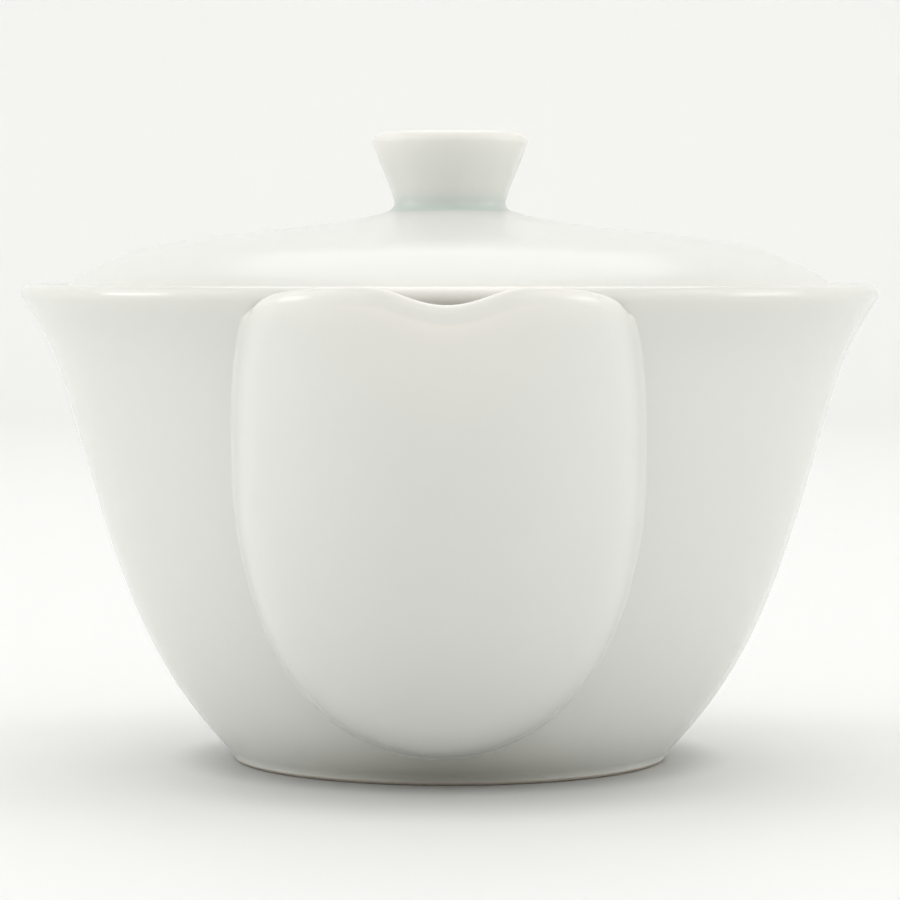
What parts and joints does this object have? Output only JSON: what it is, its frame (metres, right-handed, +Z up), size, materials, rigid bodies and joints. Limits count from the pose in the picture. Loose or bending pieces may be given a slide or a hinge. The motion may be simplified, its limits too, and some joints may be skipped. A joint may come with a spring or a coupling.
{
  "type": "spouted gaiwan",
  "caption": "Handleless lidded brewing bowl in white porcelain, with a flared rim, an inset domed lid with a flared knob, and a pouch pouring spout behind a pierced screen.",
  "frame": {"origin": "on the bowl's axis, in the plane of the foot ring that it stands on", "axes": "+Z up along the axis of bowl, lid and knob; the spout points to -Y; +X is to the right as seen from the spout's side looking along +Y"},
  "size_m": [0.1002, 0.1097, 0.0736],
  "materials": {
    "bowl_porcelain": "clear glossy glaze over white porcelain, bare ground foot ring",
    "screen_porcelain": "thin clear glaze over white porcelain",
    "spout_porcelain": "clear glossy glaze over white porcelain",
    "lid_porcelain": "clear glossy glaze over white porcelain, bare seating ring",
    "knob_porcelain": "clear glossy glaze, pooled faint blue-green at its foot"
  },
  "bodies": {
    "vessel": {"bowl": "bowl_porcelain", "strainer": "screen_porcelain", "spout": "spout_porcelain"},
    "cover": {"lid": "lid_porcelain", "lid_knob": "knob_porcelain"}
  },
  "joints": [
    {"name": "lid_lift", "type": "slide", "parent": "vessel", "child": "cover", "axis": [0, 0, 1], "range_m": [0, 0.06]}
  ]
}
